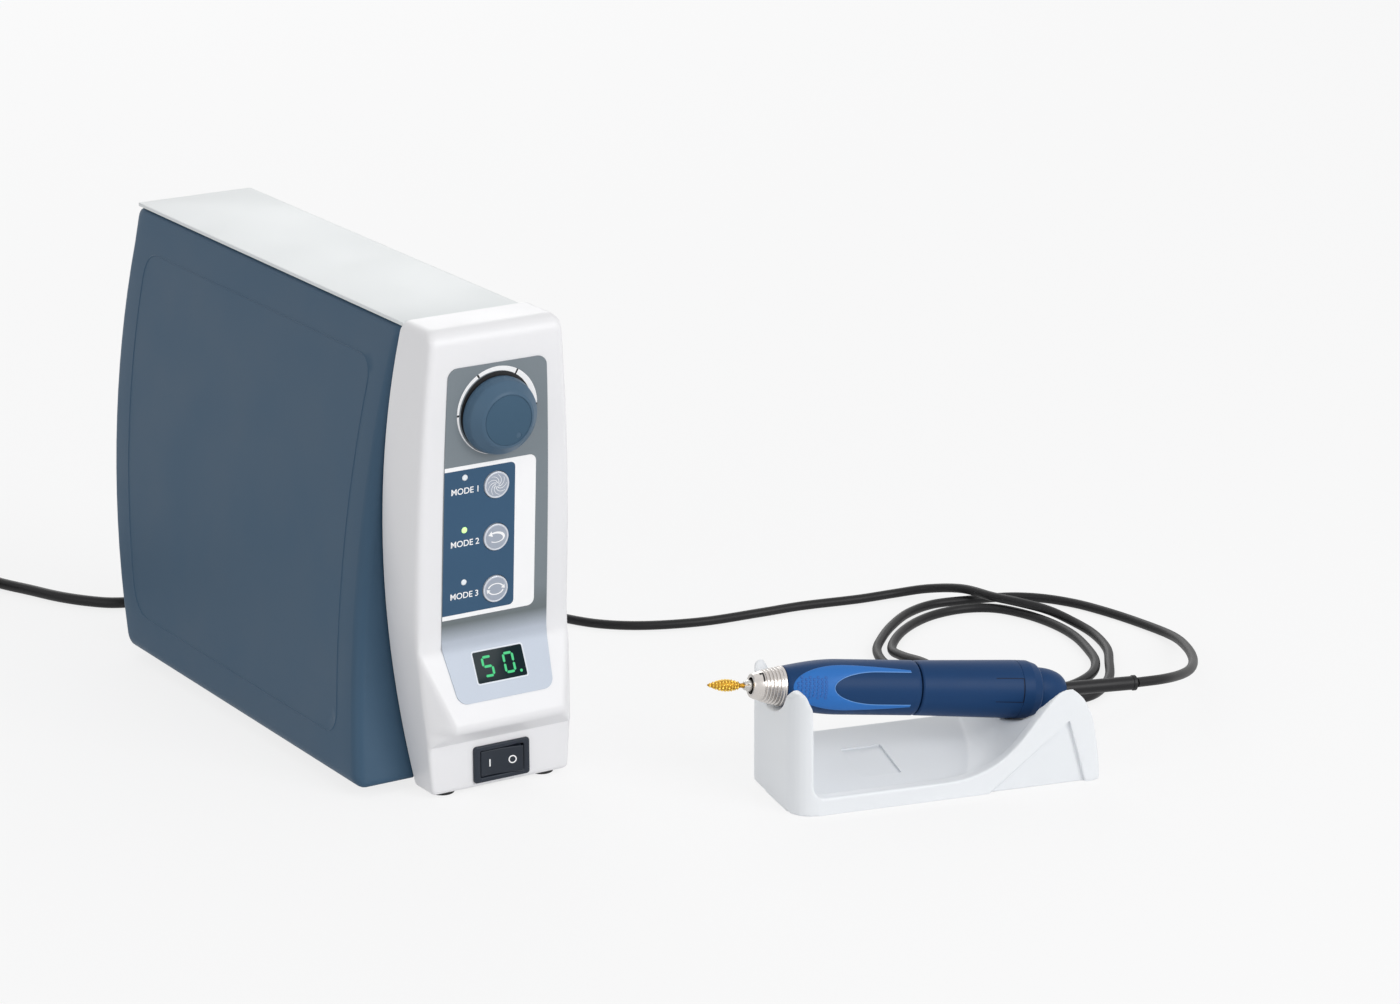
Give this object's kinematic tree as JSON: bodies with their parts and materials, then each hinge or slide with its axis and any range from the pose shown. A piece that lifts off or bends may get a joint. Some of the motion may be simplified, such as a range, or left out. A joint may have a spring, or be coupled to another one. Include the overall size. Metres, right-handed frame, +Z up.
{
  "type": "dental lab micromotor set",
  "caption": "Knee-operated bench micromotor: upright control unit with speed knob, buttons and display, motor handpiece on its stand, motor cord and mains lead.",
  "frame": {"origin": "on the table, under the middle of the set's box without its leads", "axes": "+Z up, -Y the way the unit's front faces, +X to its right with the handpiece stand"},
  "size_m": [0.6292, 0.6481, 0.236],
  "materials": {
    "white_shell": "satin moulded white plastic",
    "grey_cover": "pale grey powder coat",
    "blue_shell": "fine-textured slate blue plastic",
    "panel_film": "printed metallic film",
    "display_glass": "dark tinted window",
    "lens": "clear moulded",
    "circuit_board": "solder resist",
    "sheet_steel": "zinc plated",
    "bright_steel": "ground",
    "black_plastic": "moulded",
    "dark_switch": "moulded",
    "button_grey": "printed",
    "cord_black": "smooth sheath",
    "navy_coat": "satin anodised look",
    "grip_blue": "soft dimpled",
    "nickel": "satin nickel",
    "gold_bur": "titanium nitride look",
    "copper": "wound wire",
    "core_iron": "laminated",
    "rubber_foot": "matt",
    "stand_white": "smooth moulded",
    "alu": "extruded"
  },
  "bodies": {
    "root": {"front_bezel": "white_shell", "top_cover": "grey_cover", "rear_panel": "grey_cover", "base_plate": "sheet_steel", "side_wall": "sheet_steel", "panel_overlay": "panel_film", "display_window": "display_glass", "display_module": "black_plastic", "indicator_lenses": "lens", "front_board": "circuit_board", "push_switches": "black_plastic", "speed_pot": "bright_steel", "switch_frame": "dark_switch", "hinge_brackets": "sheet_steel", "hinge_pin": "bright_steel", "pad_sensor": "black_plastic", "main_board": "circuit_board", "capacitors": "black_plastic", "transformer": "core_iron", "heat_sink": "alu", "motor_socket": "black_plastic", "motor_plug": "black_plastic", "fuse_holder": "black_plastic", "cord_gland": "black_plastic", "rubber_feet": "rubber_foot", "cover_screws": "bright_steel", "stand": "stand_white", "motor_cord": "cord_black", "mains_cord": "cord_black", "mains_coil": "cord_black", "coil_tie": "black_plastic", "mains_plug": "black_plastic"},
    "pad": {"knee_pad": "blue_shell", "pad_hinge_arms": "bright_steel"},
    "plunger": {"pad_plunger": "bright_steel"},
    "knob": {"speed_knob": "blue_shell", "pot_shaft": "bright_steel"},
    "button_top": {"button_top": "button_grey"},
    "button_mid": {"button_mid": "button_grey"},
    "button_low": {"button_low": "button_grey"},
    "rocker": {"switch_rocker": "dark_switch"},
    "handpiece": {"nose_cone": "nickel", "rear_housing": "navy_coat", "rear_cap": "navy_coat", "cord_sleeve": "cord_black", "inner_tube": "alu", "stator": "copper", "front_bearing": "bright_steel", "rear_bearing": "bright_steel"},
    "grip": {"grip_sleeve": "navy_coat", "grip_insert": "grip_blue"},
    "spindle": {"spindle": "bright_steel", "collet": "nickel", "rotor": "core_iron", "bur": "gold_bur"}
  },
  "joints": [
    {"name": "pad_swing", "type": "hinge", "parent": "root", "child": "pad", "pos_m": [-0.14179, 0.08332, 0.228], "axis": [0, -1, 0], "range_deg": [0, 7], "stiffness_Nm_per_rad": 3, "springref_deg": -8.59},
    {"name": "plunger_slide", "type": "slide", "parent": "root", "child": "plunger", "axis": [1, 0, 0], "range_m": [0, 0.0158]},
    {"name": "knob_turn", "type": "hinge", "parent": "root", "child": "knob", "pos_m": [-0.11379, -0.08916, 0.191], "axis": [0, -0.9987, -0.0506], "range_deg": [0, 280]},
    {"name": "button_top_press", "type": "slide", "parent": "root", "child": "button_top", "axis": [0, 0.9987, 0.0506], "range_m": [0, 0.0008], "stiffness_N_per_m": 300, "springref_m": -0.001},
    {"name": "button_mid_press", "type": "slide", "parent": "root", "child": "button_mid", "axis": [0, 0.9987, 0.0506], "range_m": [0, 0.0008], "stiffness_N_per_m": 300, "springref_m": -0.001},
    {"name": "button_low_press", "type": "slide", "parent": "root", "child": "button_low", "axis": [0, 0.9987, 0.0506], "range_m": [0, 0.0008], "stiffness_N_per_m": 300, "springref_m": -0.001},
    {"name": "rocker_tilt", "type": "hinge", "parent": "root", "child": "rocker", "pos_m": [-0.11379, -0.08568, 0.014], "axis": [0, 0, 1], "range_deg": [0, 12]},
    {"name": "handpiece_lift", "type": "slide", "parent": "root", "child": "handpiece", "axis": [0, 0, 1], "range_m": [0, 0.12]},
    {"name": "grip_twist", "type": "hinge", "parent": "handpiece", "child": "grip", "pos_m": [-0.01836, -0.16658, 0.0579], "axis": [0.9691, -0.2095, -0.1305], "range_deg": [0, 60]},
    {"name": "spindle_spin", "type": "hinge", "parent": "handpiece", "child": "spindle", "pos_m": [-0.01836, -0.16658, 0.0579], "axis": [0.9691, -0.2095, -0.1305], "continuous": true}
  ],
  "couplings": [
    {"joint": "plunger_slide", "follows": "pad_swing", "m_per_rad": 0.128}
  ]
}
